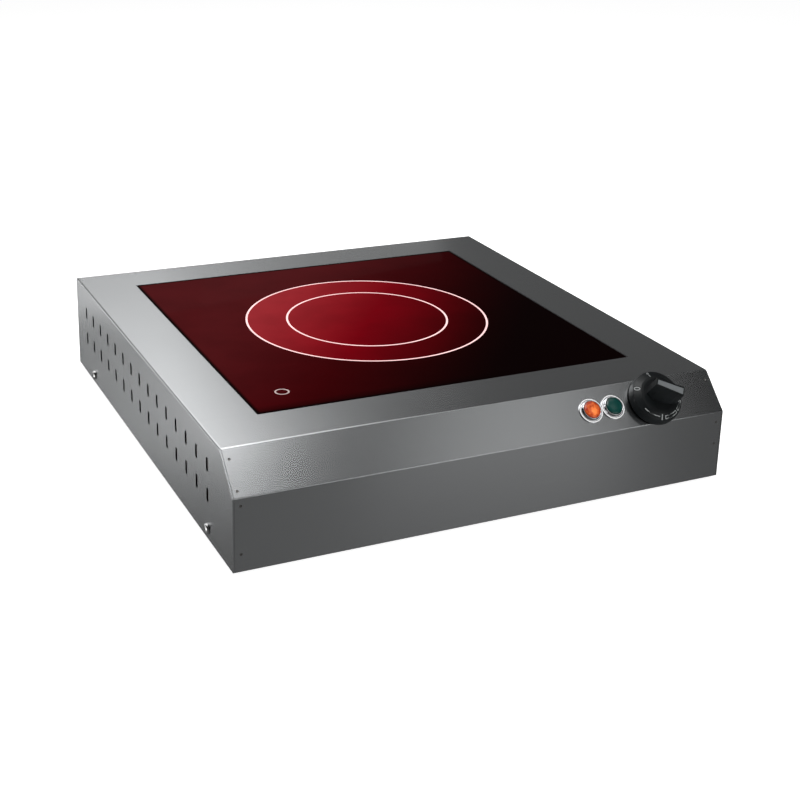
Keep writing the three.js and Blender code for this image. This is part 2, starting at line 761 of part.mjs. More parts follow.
function buildGland(root) {
  const group = new THREE.Group();
  group.position.set(GLAND_X, BACK, GLAND_Z);
  group.rotation.x = -Math.PI / 2; // its own +Z points out of the back
  root.add(group);

  const body = joined([ring(GLAND_BORE, 10, -9, 0.2, 18), hexNut(GLAND_BORE, 13.9, 0.1, 5)]);
  addPart(group, "gland_body", body, greyPlastic);
  const cap = turned(
    [
      [GLAND_BORE, 5.2],
      [12.4, 5.2],
      [12.4, 11],
      [11, 13.6],
      [8.4, 15],
      [6, 15],
      [6, 13],
      [GLAND_BORE, 12.2],
      [GLAND_BORE, 5.2],
    ],
    20,
  );
  addPart(group, "gland_cap", cap, greyPlastic);
  addPart(group, "gland_seal", ring(CABLE_BORE, GLAND_BORE - GAP, 1, 11.8, 18), rubber);
  const nut = hexNut(10.3, 13.9, -SHEET - 4.2, -SHEET - 0.2);
  addPart(group, "gland_locknut", nut, greyPlastic);
}

function buildWiring(root) {
  const floor = BASE_TOP + 0.1;
  const mains = block(122, 166, 168, 186, floor, floor + 16);
  const ways = [131, 144, 157].map((x) => block(x - 3.5, x + 3.5, 167, 187, floor + 6, floor + 12));
  const lugs = [131, 144, 157].map((x) => rod(2.6, floor + 14, floor + 17, 10).translate([x, 177, 0]));
  addPart(root, "terminal_block", cut(mains, [...ways, ...lugs]), ceramic);

  const stud = joined([
    rod(2, floor, floor + 16, 10),
    rod(4.6, floor, floor + 3.2, 6),
    rod(4.6, floor + 8, floor + 11, 6),
  ]);
  addPart(root, "earth_stud", stud.translate([105, 190, 0]), brass);

  const baffleY = -160;
  const notch = block(178, 199, baffleY - 1, baffleY + 2, floor - 1, floor + 16);
  const gate = block(-8, 30, baffleY - 1, baffleY + 2, floor - 1, floor + 30);
  const baffle = block(-200, 200, baffleY, baffleY + SHEET, floor, LEDGE_TOP - SHEET - 1);
  addPart(root, "heat_baffle", cut(baffle, [notch, gate]), platedSteel);

  const routes = {
    live_wire: {
      points: [[157, 170, 15.4], [160, 158, 15], [184, 130, 13], [187, 0, 11], [187, -150, 12],
        [180, -178, 22], [163.5, -180.5, 32.5], [158.5, -180, 38.5]],
      material: liveWire,
    },
    neutral_wire: {
      points: [[144, 170, 15.4], [144, 158, 15], [136, 110, 14], [134, 56, 26], [133, 26, 44],
        [134, 20, 54.5]],
      material: neutralWire,
    },
    earth_wire: {
      points: [[131, 170, 15.4], [130, 160, 16], [116, 160, 18], [106, 172, 22], [105, 180, 20],
        [105, 184.4, 16]],
      material: earthWire,
    },
    inner_heater_lead: {
      points: [[141.5, -178, 38.5], [121, -175, 26], [60, -170, 14], [12, -166, 13], [8, -150, 15],
        [6, -134, 32], [4, -118, 56.5]],
      material: heaterWire,
    },
    outer_heater_lead: {
      points: [[132.5, -178, 38.5], [109, -182, 27], [52, -179, 21], [24, -168, 20], [19, -152, 22],
        [16, -136, 36], [12, -118, 56.5]],
      material: heaterWire,
    },
  };
  for (const [name, { points, material }] of Object.entries(routes)) {
    addPart(root, name, wire(points, 1.6, 3 * points.length), material);
  }
}

// ---------------------------------------------------------------- assembly

const hotPlate = new THREE.Group();
buildHousing(hotPlate);
buildBase(hotPlate);
buildBaseScrews(hotPlate);
buildFeet(hotPlate);
buildGlassTop(hotPlate);
buildHeater(hotPlate);
buildHeaterSupports(hotPlate);

// The control panel's own frame: +Z out of the panel, +Y up its slope, origin in its middle.
const controlPanel = new THREE.Group();
controlPanel.position.set(0, FRONT + SLOPE_RUN / 2, SLOPE_FOOT + SLOPE_RUN / 2);
controlPanel.rotation.x = Math.PI / 4;
hotPlate.add(controlPanel);
buildKnob(controlPanel);
buildRegulator(controlPanel);
buildLamp(controlPanel, "amber", AMBER_X, amberLens);
buildLamp(controlPanel, "green", GREEN_X, greenLens);

buildGland(hotPlate);
buildWiring(hotPlate);

export default hotPlate;
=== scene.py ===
"""The looks of the countertop hot plate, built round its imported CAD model."""

import json
import math

import bmesh
import bpy
from mathutils import Matrix, Vector


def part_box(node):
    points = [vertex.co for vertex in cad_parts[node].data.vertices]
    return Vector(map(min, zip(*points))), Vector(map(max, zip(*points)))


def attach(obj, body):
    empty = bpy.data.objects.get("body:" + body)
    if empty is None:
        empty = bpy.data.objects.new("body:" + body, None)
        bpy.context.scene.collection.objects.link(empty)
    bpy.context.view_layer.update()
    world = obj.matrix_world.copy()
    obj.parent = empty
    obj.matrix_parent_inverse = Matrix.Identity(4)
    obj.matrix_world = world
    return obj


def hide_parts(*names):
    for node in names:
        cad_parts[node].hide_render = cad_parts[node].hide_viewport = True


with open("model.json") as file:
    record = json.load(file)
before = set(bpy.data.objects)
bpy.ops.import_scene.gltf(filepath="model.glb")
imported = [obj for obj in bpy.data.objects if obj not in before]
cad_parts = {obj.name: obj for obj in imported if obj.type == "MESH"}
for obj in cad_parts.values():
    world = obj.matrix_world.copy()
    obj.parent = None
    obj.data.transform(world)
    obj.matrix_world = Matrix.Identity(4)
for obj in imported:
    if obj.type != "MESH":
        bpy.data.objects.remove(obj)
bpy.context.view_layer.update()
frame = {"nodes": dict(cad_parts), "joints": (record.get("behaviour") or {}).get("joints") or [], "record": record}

MM = 0.001

# ---------------------------------------------------------------- places that the frame gives


def centre_of(node):
    low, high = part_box(node)
    return (low + high) / 2


HOUSING_LOW, HOUSING_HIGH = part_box("housing")
GLASS_LOW, GLASS_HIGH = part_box("glass_plate")
KNOB_JOINT = frame["joints"][0]
KNOB_X, PANEL_Y, PANEL_Z = KNOB_JOINT["pos_m"]
TOP = HOUSING_HIGH.z
SLOPE_RUN = 2 * (PANEL_Y - HOUSING_LOW.y)
SLOPE_FOOT = TOP - SLOPE_RUN
GLASS_Y = centre_of("glass_plate").y
HEATER_Y = centre_of("heater_dish").y

# The control panel's own frame: +Z out of the panel, +Y up its slope.
PANEL_TILT = Vector(KNOB_JOINT["axis"]).to_track_quat("Z", "Y").to_matrix().to_4x4()
PANEL = Matrix.Translation((0, PANEL_Y, PANEL_Z)) @ PANEL_TILT

# ---------------------------------------------------------------- measures of the fine pieces, metres

SHEET = 1.2 * MM
BEND = 1.7 * MM
LEAST_BEND = 0.2 * MM
SEAM_WIDTH = 0.45 * MM
SEAM_DEPTH = 0.6 * MM
GLASS_JOINT = 0.8 * MM
SHAFT_HOLE = 5.2 * MM
LAMP_HOLE = 7 * MM
GLAND_HOLE = 10.3 * MM
SCREW_HOLE = 2.3 * MM
# How far a cutter goes in below a sheet's face, and how far it stands out of it.
CUT_IN = 3 * MM
CUT_OUT = 1 * MM
SLOT_LENGTH = 11 * MM
SLOT_WIDTH = 4.4 * MM
SLOT_RIM = 0.12 * MM
SLOT_PITCH = 25 * MM
SLOTS_IN_ROW = 15
SLOT_FIRST_FROM_FRONT = 55 * MM
SLOT_ROW_HEIGHTS = (35.5 * MM, 59.5 * MM)
OUTER_RING = 105 * MM
INNER_RING = 70 * MM
RING_LINE = 1.7 * MM
SMALL_RING = Vector((-129.8 * MM, -112.2 * MM, 0))
SMALL_RING_INSIDE = 4.5 * MM
SMALL_RING_OUTSIDE = 5.85 * MM
PRINT_THICK = 0.04 * MM
PRINT_LIFT = 0.01 * MM
GRIP_TURN = math.radians(-30.5)

# ---------------------------------------------------------------- mesh helpers


def mesh_object(name, bm):
    bmesh.ops.recalc_face_normals(bm, faces=bm.faces)
    mesh = bpy.data.meshes.new(name)
    bm.to_mesh(mesh)
    bm.free()
    made = bpy.data.objects.new(name, mesh)
    bpy.context.scene.collection.objects.link(made)
    return made


def arc_corner(before, here, after, radius, steps):
    """Points of a round corner of that radius between two straight stretches."""
    back = (before - here).normalized()
    ahead = (after - here).normalized()
    half = back.angle(ahead) / 2
    centre = here + (back + ahead).normalized() * (radius / math.sin(half))
    start = here + back * (radius / math.tan(half)) - centre
    end = here + ahead * (radius / math.tan(half)) - centre
    sweep = start.angle_signed(end)
    return [centre + Matrix.Rotation(-sweep * i / steps, 2) @ start for i in range(steps + 1)]


def outline(corners, steps=6):
    """A closed outline through (a, b) or (a, b, radius) corners, as 2-D points."""
    spots = [Vector(c[:2]) for c in corners]
    points = []
    for i, corner in enumerate(corners):
        if len(corner) < 3:
            points.append(spots[i])
            continue
        after = spots[(i + 1) % len(spots)]
        points += arc_corner(spots[i - 1], spots[i], after, corner[2], steps)
    return points


def add_loop(bm, points):
    return [bm.verts.new(p) for p in points]


def bridge(bm, low, high):
    count = len(low)
    for i in range(count):
        j = (i + 1) % count
        bm.faces.new((low[i], low[j], high[j], high[i]))


def loft(bm, loops, closed=False):
    """Skins closed loops of points in turn, and caps both ends unless the loft closes on itself."""
    made = [add_loop(bm, points) for points in loops]
    for low, high in zip(made, made[1:]):
        bridge(bm, low, high)
    if closed:
        bridge(bm, made[-1], made[0])
    else:
        bm.faces.new(made[0])
        bm.faces.new(made[-1])


def prism(name, points, lay, start, end):
    """A prism of a 2-D outline; lay(a, b, c) puts an outline point (a, b) at depth c."""
    bm = bmesh.new()
    loft(bm, [[lay(a, b, c) for a, b in points] for c in (start, end)])
    return mesh_object(name, bm)


def along_x(a, b, c):
    return Vector((c, a, b))


def along_y(a, b, c):
    return Vector((a, c, b))


def add_box(bm, low, high):
    corners = [(low[0], low[1]), (high[0], low[1]), (high[0], high[1]), (low[0], high[1])]
    loft(bm, [[Vector((x, y, z)) for x, y in corners] for z in (low[2], high[2])])


def circle_points(radius, z, sides):
    angles = [2 * math.pi * i / sides for i in range(sides)]
    return [Vector((radius * math.cos(a), radius * math.sin(a), z)) for a in angles]


def add_turned(bm, profile, sides):
    """A solid of revolution about Z from (radius, height) points. A radius of 0 at either end closes
    it on the axis; otherwise the profile closes on itself."""
    on_axis = profile[0][0] == 0
    rings = [circle_points(r, z, sides) for r, z in profile if r > 0]
    if not on_axis:
        loft(bm, rings, closed=True)
        return
    loops = [add_loop(bm, ring) for ring in rings]
    for low, high in zip(loops, loops[1:]):
        bridge(bm, low, high)
    for loop, (_, z) in ((loops[0], profile[0]), (loops[-1], profile[-1])):
        tip = bm.verts.new((0, 0, z))
        for i in range(sides):
            bm.faces.new((loop[i], loop[(i + 1) % sides], tip))


def turned(name, profile, sides):
    bm = bmesh.new()
    add_turned(bm, profile, sides)
    return mesh_object(name, bm)


def rounded_profile(corners):
    """A turned piece's profile from (radius, height) or (radius, height, rounding) corners."""
    return [(p[0], p[1]) for p in outline(corners, 4)]


def combine(target, tool, operation):
    """Cuts, joins or keeps what is common, and removes the tool."""
    modifier = target.modifiers.new("combine", "BOOLEAN")
    modifier.operation = operation
    modifier.solver = "EXACT"
    modifier.object = tool
    settled = target.evaluated_get(bpy.context.evaluated_depsgraph_get())
    mesh = bpy.data.meshes.new_from_object(settled)
    target.modifiers.clear()
    target.data = mesh
    bpy.data.objects.remove(tool)
    return target


def place(obj, matrix):
    obj.data.transform(matrix)
    return obj


SMOOTH_BELOW = math.radians(35)


def dress(obj, body, slot_name, *materials, nodes=()):
    """Gives a piece its smooth shading, materials and body, and hides the nodes that it stands for; slot_name is
    not used.
    """
    for material in materials:
        obj.data.materials.append(material)
    obj.data.shade_smooth()
    obj.data.set_sharp_from_angle(angle=SMOOTH_BELOW)
    weighted = obj.modifiers.new("flat faces stay flat", "WEIGHTED_NORMAL")
    weighted.keep_sharp = True
    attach(obj, body)
    if nodes:
        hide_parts(*nodes)
    return obj


# ---------------------------------------------------------------- material helpers

# Where nearly all the values of a noise lie.
NOISE_BAND = (0.3, 0.7)


def set_inputs(node, values):
    for socket, value in values.items():
        node.inputs[socket].default_value = value


class Surface:
    """A node material with one Principled shader, built a node at a time."""

    def __init__(self, name, color, roughness, metallic=0.0):
        self.material = bpy.data.materials.new(name)
        self.material.use_nodes = True
        self.tree = self.material.node_tree
        self.shader = self.tree.nodes["Principled BSDF"]
        self.set("Base Color", (*color, 1))
        self.set("Roughness", roughness)
        self.set("Metallic", metallic)

    def set(self, socket, value):
        self.shader.inputs[socket].default_value = value

    def node(self, kind, **settings):
        node = self.tree.nodes.new(kind)
        for key, value in settings.items():
            setattr(node, key, value)
        return node

    def link(self, output, target):
        self.tree.links.new(output, target)

    def coordinates(self, scale=(1, 1, 1), offset=(0, 0, 0)):
        """Object coordinates, which are the frame's own metres, stretched by scale and then moved."""
        source = self.node("ShaderNodeTexCoord")
        mapping = self.node("ShaderNodeMapping")
        set_inputs(mapping, {"Scale": scale, "Location": offset})
        self.link(source.outputs["Object"], mapping.inputs["Vector"])
        return mapping.outputs["Vector"]

    def noise(self, vector, scale, detail=3, roughness=0.5):
        noise = self.node("ShaderNodeTexNoise")
        set_inputs(noise, {"Scale": scale, "Detail": detail, "Roughness": roughness})
        self.link(vector, noise.inputs["Vector"])
        return noise.outputs["Fac"]

    def spread(self, value, low, high, from_low=0.0, from_high=1.0, kind="LINEAR"):
        """Maps a value from one range to another, and holds it at the ends."""
        ranged = self.node("ShaderNodeMapRange", interpolation_type=kind)
        self.link(value, ranged.inputs["Value"])
        set_inputs(ranged, {"From Min": from_low, "From Max": from_high, "To Min": low, "To Max": high})
        return ranged.outputs["Result"]

    def math(self, operation, *operands):
        node = self.node("ShaderNodeMath", operation=operation)
        for socket, operand in zip(node.inputs, operands):
            if isinstance(operand, (int, float)):
                socket.default_value = operand
            else:
                self.link(operand, socket)
        return node.outputs[0]

    def blend(self, factor, first, second):
        """A colour between first and second; each is a colour or an output."""
        mix = self.node("ShaderNodeMix", data_type="RGBA")
        for socket, value in ((mix.inputs[0], factor), (mix.inputs[6], first), (mix.inputs[7], second)):
            if isinstance(value, tuple):
                socket.default_value = (*value, 1)
            else:
                self.link(value, socket)
        return mix.outputs[2]

    def drive(self, output, socket):
        self.link(output, self.shader.inputs[socket])

    def bump(self, height, strength, distance):
        bump = self.node("ShaderNodeBump")
        set_inputs(bump, {"Strength": strength, "Distance": distance})
        self.link(height, bump.inputs["Height"])
        self.drive(bump.outputs["Normal"], "Normal")

    def vary_color(self, noise, color, darkest, brightest):
        """Varies the base colour between two shares of itself."""
        darker, brighter = (tuple(min(1, share * c) for c in color) for share in (darkest, brightest))
        self.drive(self.blend(self.spread(noise, 0, 1, *NOISE_BAND), darker, brighter), "Base Color")

    def vary_roughness(self, noise, lowest, highest):
        self.drive(self.spread(noise, lowest, highest, *NOISE_BAND), "Roughness")


def add_light(material, color, strength):
    """Makes a material give off the same light all over."""
    emission = {"Emission Color": (*color, 1), "Emission Strength": strength}
    set_inputs(material.node_tree.nodes["Principled BSDF"], emission)
    return material


def leave_out_of_light_sampling(material):
    """Leaves a broad glow out of the lights that are sampled one by one, so that it renders faster."""
    material.cycles.emission_sampling = "NONE"
    return material


GRAIN_ANISOTROPY = 0.7
# The steel's grain and clouds, as noise scales per metre, and how far each changes its roughness.
GRAIN_ACROSS = 2200
GRAIN_ALONG = 12
STEEL_CLOUDS = 9
STEEL_UNEVENNESS = 0.004


def steel(name, grain_axis, across, color=(0.57, 0.583, 0.592), roughness=0.257):
    """Satin sheet whose fine grain runs along X, Y or Z; reflections stretch in the direction across it."""
    surface = Surface(name, color, roughness, metallic=1.0)
    surface.set("Anisotropic", GRAIN_ANISOTROPY)
    direction = surface.node("ShaderNodeCombineXYZ")
    set_inputs(direction, dict(zip("XYZ", across)))
    surface.drive(direction.outputs[0], "Tangent")
    fine = [GRAIN_ALONG if axis == grain_axis else GRAIN_ACROSS for axis in "XYZ"]
    grain = surface.noise(surface.coordinates(scale=fine), 1.0, detail=2)
    clouds = surface.noise(surface.coordinates(), STEEL_CLOUDS, detail=2)
    surface.vary_color(grain, color, 0.97, 1.03)
    rough = surface.math(
        "ADD",
        surface.spread(grain, roughness - STEEL_UNEVENNESS, roughness + STEEL_UNEVENNESS, *NOISE_BAND),
        surface.spread(clouds, -STEEL_UNEVENNESS, STEEL_UNEVENNESS, 0.35, 0.65),
    )
    surface.drive(rough, "Roughness")
    return surface.material


def moulded(name, color, roughness, grain=1600, depth=0.00003, specular=0.5):
    """Moulded plastic or rubber with a fine spark-eroded grain, depth in metres."""
    surface = Surface(name, color, roughness)
    surface.set("Specular IOR Level", specular)
    grains = surface.noise(surface.coordinates(), grain, detail=2)
    surface.vary_color(surface.noise(surface.coordinates(), 60), color, 0.8, 1.2)
    surface.vary_roughness(grains, roughness - 0.05, roughness + 0.05)
    surface.bump(grains, 0.3, depth)
    return surface.material


def plated(name, color, roughness, metallic=1.0):
    """Plated or turned metal, with faint clouds in its polish."""
    surface = Surface(name, color, roughness, metallic)
    clouds = surface.noise(surface.coordinates(), 220)
    surface.vary_color(clouds, color, 0.92, 1)
    surface.vary_roughness(clouds, roughness * 0.85, roughness * 1.25)
    return surface.material


# ---------------------------------------------------------------- housing


def side_outline(inset, bottom):
    """The housing from the side, as (y, z), moved in by inset."""
    lean = inset * math.tan(math.pi / 8)
    bend = max(BEND - inset, LEAST_BEND)
    front = HOUSING_LOW.y
    back = HOUSING_HIGH.y - inset
    return outline([
        (front + inset, bottom),
        (back, bottom),
        (back, TOP - inset, bend),
        (front + SLOPE_RUN + lean, TOP - inset, bend),
        (front + inset, SLOPE_FOOT - lean, bend),
    ])


def front_outline(inset, bottom):
    """The housing from the front, as (x, z), moved in by inset."""
    side = HOUSING_HIGH.x - inset
    bend = max(BEND - inset, LEAST_BEND)
    return outline([
        (-side, bottom),
        (side, bottom),
        (side, TOP - inset, bend),
        (-side, TOP - inset, bend),
    ])


def bent_box(name, inset, bottom):
    side = HOUSING_HIGH.x - inset
    from_side = prism(name, side_outline(inset, bottom), along_x, -side, side)
    y_ends = (HOUSING_LOW.y + inset - MM, HOUSING_HIGH.y - inset + MM)
    from_front = prism("from_front", front_outline(inset, bottom), along_y, *y_ends)
    return combine(from_side, from_front, "INTERSECT")


def slot_points(half_length, half_width):
    """A slot with round ends, long along its second coordinate."""
    steps = 6
    reach = half_length - half_width
    points = []
    for end in (1, -1):
        for i in range(steps + 1):
            angle = math.pi * i / steps + (0 if end > 0 else math.pi)
            points.append((half_width * math.cos(angle), end * reach + half_width * math.sin(angle)))
    return points


def add_slot_cutter(bm, side, y, z):
    """A slot through one side wall with a small worn chamfer round its rim."""
    wall = side * HOUSING_HIGH.x
    stations = ((CUT_OUT, SLOT_RIM), (0, SLOT_RIM), (-SLOT_RIM, 0), (-CUT_IN, 0))
    loops = []
    for outward, extra in stations:
        shape = slot_points(SLOT_LENGTH / 2 + extra, SLOT_WIDTH / 2 + extra)
        loops.append([Vector((wall + side * outward, y + a, z + b)) for a, b in shape])
    loft(bm, loops)


def slot_cutters():
    bm = bmesh.new()
    for side in (-1, 1):
        for height in SLOT_ROW_HEIGHTS:
            for i in range(SLOTS_IN_ROW):
                y = HOUSING_LOW.y + SLOT_FIRST_FROM_FRONT + i * SLOT_PITCH
                add_slot_cutter(bm, side, y, HOUSING_LOW.z + height)
    return mesh_object("slots", bm)


def panel_cutters():
    """The round holes of the control panel, in the panel's frame."""
    bm = bmesh.new()
    lamps = [(centre_of(node).x, LAMP_HOLE) for node in ("amber_bezel", "green_bezel")]
    for x, radius in [(KNOB_X, SHAFT_HOLE)] + lamps:
        rings = [circle_points(radius, z, 32) for z in (-CUT_IN, CUT_OUT)]
        loft(bm, [[p + Vector((x, 0, 0)) for p in ring] for ring in rings])
    return place(mesh_object("panel_holes", bm), PANEL)


def seam_cutters():
    """The open joints between each cheek and the folded front, down the slope and down the front."""
    half_slope = SLOPE_RUN / math.sqrt(2)
    front = HOUSING_LOW.y
    on_slope = bmesh.new()
    on_front = bmesh.new()
    for side in (-1, 1):
        joint = side * (HOUSING_HIGH.x - SHEET)
        low_x, high_x = joint - SEAM_WIDTH / 2, joint + SEAM_WIDTH / 2
        add_box(on_slope, (low_x, -half_slope, -SEAM_DEPTH), (high_x, half_slope, SEAM_DEPTH))
        low = (low_x, front - SEAM_DEPTH / 2, HOUSING_LOW.z - MM)
        high = (high_x, front + SEAM_DEPTH / 2, SLOPE_FOOT + SEAM_DEPTH)
        add_box(on_front, low, high)
    return place(mesh_object("slope_seams", on_slope), PANEL), mesh_object("front_seams", on_front)


# Spot welds that hold each cheek's flange behind the front: (side, height above the bottom edge) on
# the front face, and (side, distance up from the middle of the slope) on the slope.
FRONT_WELDS = ((-1, 50.6 * MM), (-1, 13.5 * MM), (1, 47.9 * MM), (1, 29.2 * MM))
SLOPE_WELDS = ((-1, 10.1 * MM), (-1, -13.7 * MM), (1, 10.1 * MM))
WELD_INSET = 6 * MM
SLOPE_WELD_INSET = 5 * MM
WELD_RADIUS = 1.1 * MM
WELD_DEPTH = 0.28 * MM


def add_weld(bm, matrix):
    """A shallow round dent, as a cutter whose own +Z is the face's outward normal."""
    dent = [
        (0, -WELD_DEPTH),
        (WELD_RADIUS * 0.5, -WELD_DEPTH * 0.8),
        (WELD_RADIUS, 0),
        (WELD_RADIUS, CUT_OUT),
        (0, CUT_OUT),
    ]
    start = len(bm.verts)
    add_turned(bm, dent, 16)
    bm.verts.ensure_lookup_table()
    for vert in bm.verts[start:]:
        vert.co = matrix @ vert.co


def weld_places():
    """Each weld's own frame, with its +Z out of the sheet."""
    to_front = Matrix.Rotation(math.pi / 2, 4, "X")
    places = []
    for side, height in FRONT_WELDS:
        spot = (side * (HOUSING_HIGH.x - WELD_INSET), HOUSING_LOW.y, HOUSING_LOW.z + height)
        places.append(Matrix.Translation(spot) @ to_front)
    for side, up in SLOPE_WELDS:
        places.append(PANEL @ Matrix.Translation((side * (HOUSING_HIGH.x - SLOPE_WELD_INSET), up, 0)))
    return places


def weld_cutters():
    bm = bmesh.new()
    for matrix in weld_places():
        add_weld(bm, matrix)
    return mesh_object("welds", bm)


def gland_hole_cutter():
    centre = centre_of("gland_body")
    hole = [(centre.x + p.x, centre.z + p.y) for p in circle_points(GLAND_HOLE, 0, 40)]
    return prism("gland_hole", hole, along_y, HOUSING_HIGH.y - CUT_IN, HOUSING_HIGH.y + CUT_OUT)


def opening_cutter():
    """The opening for the glass, with the open joint round it."""
    bm = bmesh.new()
    gap = GLASS_JOINT
    low = (GLASS_LOW.x - gap, GLASS_LOW.y - gap, TOP - CUT_IN)
    high = (GLASS_HIGH.x + gap, GLASS_HIGH.y + gap, TOP + CUT_OUT)
    add_box(bm, low, high)
    return mesh_object("opening", bm)


def screw_hole_cutters():
    reach = 8 * MM
    bm = bmesh.new()
    for side in ("left", "right"):
        for end in ("front", "rear"):
            centre = centre_of(f"base_screw_{end}_{side}")
            hole = [(centre.y + p.x, centre.z + p.y) for p in circle_points(SCREW_HOLE, 0, 20)]
            loft(bm, [[along_x(a, b, c) for a, b in hole] for c in (centre.x - reach, centre.x + reach)])
    return mesh_object("screw_holes", bm)


def in_slot_wall(polygon):
    """Whether a face is part of a slot's punched edge."""
    wall_depth = HOUSING_HIGH.x - abs(polygon.center.x)
    height = polygon.center.z - HOUSING_LOW.z
    along = polygon.center.y - HOUSING_LOW.y - SLOT_FIRST_FROM_FRONT
    in_sheet = 0 < wall_depth < SHEET and abs(polygon.normal.x) < 0.9
    by_height = min(abs(height - row) for row in SLOT_ROW_HEIGHTS) < SLOT_LENGTH
    by_length = -SLOT_WIDTH < along < SLOTS_IN_ROW * SLOT_PITCH
    return in_sheet and by_height and by_length


def split_steel(obj):
    """The cheeks take the second steel, whose grain is upright; the slots' walls take a near-black painted shade,
    and welds have their own.
    """
    upright, slot_wall_shade, welded = 1, 2, 3
    welds = [matrix.translation for matrix in weld_places()]
    for polygon in obj.data.polygons:
        if in_slot_wall(polygon):
            # Painted shade: the slots' walls are near black.
            polygon.material_index = slot_wall_shade
        elif min((polygon.center - weld).length for weld in welds) < WELD_RADIUS:
            polygon.material_index = welded
        elif abs(polygon.normal.x) > 0.75:
            polygon.material_index = upright


def make_housing():
    shell = bent_box("housing_shell", 0, HOUSING_LOW.z)
    combine(shell, bent_box("inside", SHEET, HOUSING_LOW.z - MM), "DIFFERENCE")
    slope_seams, front_seams = seam_cutters()
    for tool in (opening_cutter(), slot_cutters(), panel_cutters(), gland_hole_cutter(),
                 screw_hole_cutters(), slope_seams, front_seams, weld_cutters()):
        combine(shell, tool, "DIFFERENCE")
    dress(shell, "appliance", "brushed_steel",
          steel("steel_along_x", "X", (0, 1, 1)), steel("steel_upright", "Z", (0, 1, 0)),
          # The slots' walls are painted near black: painted shade for the dark inside of each slot.
          plated("slot_wall_painted_shade", (0.015, 0.015, 0.017), 0.7), plated("weld_tint", (0.3, 0.29, 0.28), 0.45),
          nodes=["housing"])
    split_steel(shell)


# ---------------------------------------------------------------- glass top


def square_loop(half, z, corner):
    """A round-cornered square about the glass's middle, at height z."""
    spots = [(-half, -half, corner), (half, -half, corner), (half, half, corner), (-half, half, corner)]
    return [Vector((x, y + GLASS_Y, z)) for x, y in outline(spots, 5)]


# The glow in the glass is partly the lit heater showing through and partly painted light. It is full on the far
# left and gone on the near right, a painted falloff of the light from the left, and the glow outside the outer
# ring is all painted light. The falloff is measured along PAINTED_LIGHT_AWAY over PAINTED_LIGHT_REACH either side
# of PAINTED_LIGHT_MIDDLE, from the heater's middle. The glow's two strengths are those outside the outer ring and
# inside it.
PAINTED_LIGHT_AWAY = Vector((0.8, -0.6, 0))
PAINTED_LIGHT_MIDDLE = 3 * MM
PAINTED_LIGHT_REACH = 138 * MM
PAINTED_GLOW_OUTSIDE = 0.068
GLOW_OVER_HEATER = 0.32
# The glow's colour where the painted light is full, pinker with a painted reflection, and its deep red where that
# light is gone.
GLOW_PAINTED_HAZE = (1, 0.08, 0.1)
GLOW_DEEP_RED = (1, 0.0, 0.022)
# The glow is painted darker along the glass's border and most along its front, as painted shade: the glow comes up
# between BORDER_EDGE and DARK_BORDER from each edge, and along the front from LEFT_AT_FRONT to all of it at
# DARK_FRONT.
DARK_BORDER = 3.5 * MM
BORDER_EDGE = 0.8 * MM
DARK_FRONT = 13 * MM
LEFT_AT_FRONT = 0.3


def painted_border_shade(surface):
    """How much glow the painted shade leaves near the sides, near the front and back, and along the whole front.
    """
    middle = surface.node("ShaderNodeSeparateXYZ")
    surface.link(surface.coordinates(offset=(0, -GLASS_Y, 0)), middle.inputs[0])
    half = (GLASS_HIGH.x - GLASS_LOW.x) / 2
    painted_shades = []
    for axis in "XY":
        across = surface.math("ABSOLUTE", middle.outputs[axis])
        painted_shades.append(surface.spread(across, 1, 0, half - DARK_BORDER, half - BORDER_EDGE))
    painted_shades.append(surface.spread(middle.outputs["Y"], LEFT_AT_FRONT, 1, -half, DARK_FRONT - half))
    return painted_shades


def painted_light_falloff(surface, spot):
    """1 where the painted light is full and 0 where it is gone."""
    away = surface.node("ShaderNodeVectorMath", operation="DOT_PRODUCT")
    surface.link(spot, away.inputs[0])
    away.inputs[1].default_value = PAINTED_LIGHT_AWAY
    low, high = PAINTED_LIGHT_MIDDLE - PAINTED_LIGHT_REACH, PAINTED_LIGHT_MIDDLE + PAINTED_LIGHT_REACH
    return surface.spread(away.outputs["Value"], 1, 0, low, high, kind="SMOOTHSTEP")


def radius_of(surface, spot):
    parts = surface.node("ShaderNodeSeparateXYZ")
    surface.link(spot, parts.inputs[0])
    squares = [surface.math("MULTIPLY", parts.outputs[axis], parts.outputs[axis]) for axis in "XY"]
    return surface.math("SQRT", surface.math("ADD", *squares))


def glass_material():
    """Dark red glass-ceramic with the lit heater showing through, brightest inside the outer ring; its falloff
    from the far left to the near right, its glow outside the ring and its pink haze are painted light.
    """
    surface = Surface("red_glass_ceramic", (0.003, 0.0003, 0.0004), 0.3)
    surface.set("IOR", 1.02)
    surface.set("Coat Weight", 0.03)
    surface.set("Coat Roughness", 0.03)
    spot = surface.coordinates(offset=(0, -HEATER_Y, 0))
    # Painted light: the glow falls off from the far left to the near right.
    painted_falloff = painted_light_falloff(surface, spot)
    over_heater = surface.spread(
        radius_of(surface, spot), GLOW_OVER_HEATER, PAINTED_GLOW_OUTSIDE, OUTER_RING - MM, OUTER_RING + MM
    )
    clouds = surface.spread(surface.noise(spot, 30), 0.93, 1.07, 0.35, 0.65)
    glow = surface.math("MULTIPLY", surface.math("MULTIPLY", over_heater, painted_falloff), clouds)
    # Painted shade: the glow is darkened along the glass's border and its front.
    for factor in painted_border_shade(surface):
        glow = surface.math("MULTIPLY", glow, factor)
    surface.drive(glow, "Emission Strength")
    # Painted reflection: the glow turns pinker where the painted light is full.
    surface.drive(surface.blend(surface.spread(painted_falloff, 0, 1, 0.5, 1), GLOW_DEEP_RED, GLOW_PAINTED_HAZE), "Emission Color")
    return leave_out_of_light_sampling(surface.material)


